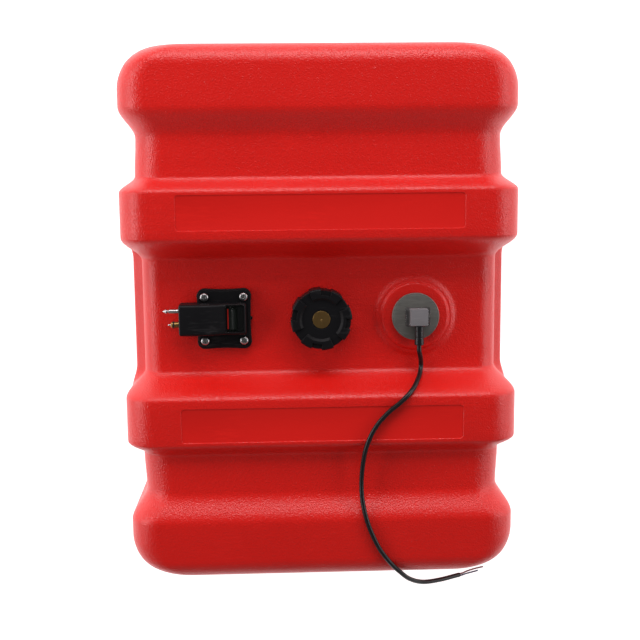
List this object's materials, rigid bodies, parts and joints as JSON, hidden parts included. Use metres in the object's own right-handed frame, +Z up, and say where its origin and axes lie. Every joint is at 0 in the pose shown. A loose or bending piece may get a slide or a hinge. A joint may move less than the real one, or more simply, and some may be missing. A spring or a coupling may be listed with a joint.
{
  "type": "outboard fuel tank",
  "caption": "Low moulded portable fuel tank for an outboard motor, with a grooved shell, vented filler cap, gauge head with fuel connector, and a level sender with its lead.",
  "frame": {"origin": "on the floor under the middle of the tank, leaving the lead aside", "axes": "+Z up through the filler cap, +Y along the tank, +X across it towards the level sender"},
  "size_m": [0.464, 0.6535, 0.2227],
  "materials": {
    "red_shell": "satin, fine pebble texture",
    "black_plastic": "satin",
    "brass": "turned",
    "bright_steel": "bright",
    "cast_zinc": "dull cast",
    "dark_window": "smoked",
    "clear_plastic": "clear, glossy",
    "seal_rubber": "matt",
    "white_plastic": "natural",
    "float_foam": "closed-cell foam",
    "drum_black": "satin",
    "stripe_red": "satin",
    "magnet_grey": "sintered",
    "lead_black": "satin jacket",
    "wire_red": "satin",
    "wire_blue": "satin"
  },
  "bodies": {
    "tank": {"tank_body": "red_shell", "threaded_inserts": "brass", "flange_gasket": "seal_rubber", "gauge_housing": "black_plastic", "flange_screws": "bright_steel", "gauge_lens": "dark_window", "fuel_post": "brass", "post_o_ring": "seal_rubber", "valve_spring": "bright_steel", "guide_pin": "bright_steel", "pickup_tube": "white_plastic", "pickup_strainer": "white_plastic", "gauge_frame": "white_plastic", "gauge_pivot": "bright_steel", "sender_gasket": "seal_rubber", "sender_head": "cast_zinc", "sender_stem": "white_plastic", "sender_capsule": "clear_plastic", "strain_relief": "lead_black", "sender_lead": "lead_black", "lead_wire_red": "wire_red", "lead_wire_blue": "wire_blue"},
    "seal": {"cap_seal": "seal_rubber"},
    "cap": {"filler_cap": "black_plastic", "vent_disc": "brass", "vent_cage": "black_plastic", "vent_spring": "bright_steel"},
    "vent": {"vent_valve": "seal_rubber"},
    "valve": {"valve_pin": "bright_steel"},
    "gauge_arm": {"gauge_float_arm": "bright_steel", "gauge_float": "float_foam"},
    "link": {"gauge_link": "bright_steel"},
    "indicator": {"indicator_drum": "drum_black", "indicator_stripe": "stripe_red"},
    "sender_arm": {"sender_axle": "bright_steel", "sender_float_arm": "bright_steel", "sender_float": "float_foam", "sender_arm_gear": "white_plastic"},
    "sender_drive": {"sender_shaft": "bright_steel", "sender_shaft_gear": "white_plastic", "sender_magnet": "magnet_grey"}
  },
  "joints": [
    {"name": "cap_lift", "type": "slide", "parent": "tank", "child": "seal", "axis": [0, 0, 1], "range_m": [0, 0.009]},
    {"name": "cap_turn", "type": "hinge", "parent": "seal", "child": "cap", "pos_m": [0, -0.0025, 0.19], "axis": [0, 0, 1], "range_deg": [0, 540.5]},
    {"name": "vent_lift", "type": "slide", "parent": "cap", "child": "vent", "axis": [0, 0, 1], "range_m": [0, 0.002], "stiffness_N_per_m": 60, "springref_m": -0.004, "deforming": ["vent_spring"]},
    {"name": "valve_press", "type": "slide", "parent": "tank", "child": "valve", "axis": [1, 0, 0], "range_m": [0, 0.0025], "stiffness_N_per_m": 300, "springref_m": -0.003, "deforming": ["valve_spring"]},
    {"name": "gauge_float_swing", "type": "hinge", "parent": "tank", "child": "gauge_arm", "pos_m": [-0.1044, 0, 0.087], "axis": [0, 1, 0], "range_deg": [0, 112]},
    {"name": "gauge_link_turn", "type": "hinge", "parent": "gauge_arm", "child": "link", "pos_m": [-0.10675, 0.0117, 0.08352], "axis": [0, 1, 0], "range_deg": [-112.5, 0.5]},
    {"name": "indicator_turn", "type": "hinge", "parent": "tank", "child": "indicator", "pos_m": [-0.1044, 0, 0.185], "axis": [0, 1, 0], "range_deg": [-0.5, 112.5]},
    {"name": "sender_float_swing", "type": "hinge", "parent": "tank", "child": "sender_arm", "pos_m": [0.112, -0.0025, 0.087], "axis": [1, 0, 0], "range_deg": [0, 112]},
    {"name": "sender_shaft_turn", "type": "hinge", "parent": "tank", "child": "sender_drive", "pos_m": [0.112, -0.0025, 0.12], "axis": [0, 0, 1], "range_deg": [-112.5, 0.5]}
  ],
  "couplings": [
    {"joint": "cap_turn", "follows": "cap_lift", "rad_per_m": 1047.2},
    {"joint": "gauge_link_turn", "follows": "gauge_float_swing", "ratio": -1},
    {"joint": "indicator_turn", "follows": "gauge_float_swing", "ratio": 1},
    {"joint": "sender_shaft_turn", "follows": "sender_float_swing", "ratio": -1}
  ]
}
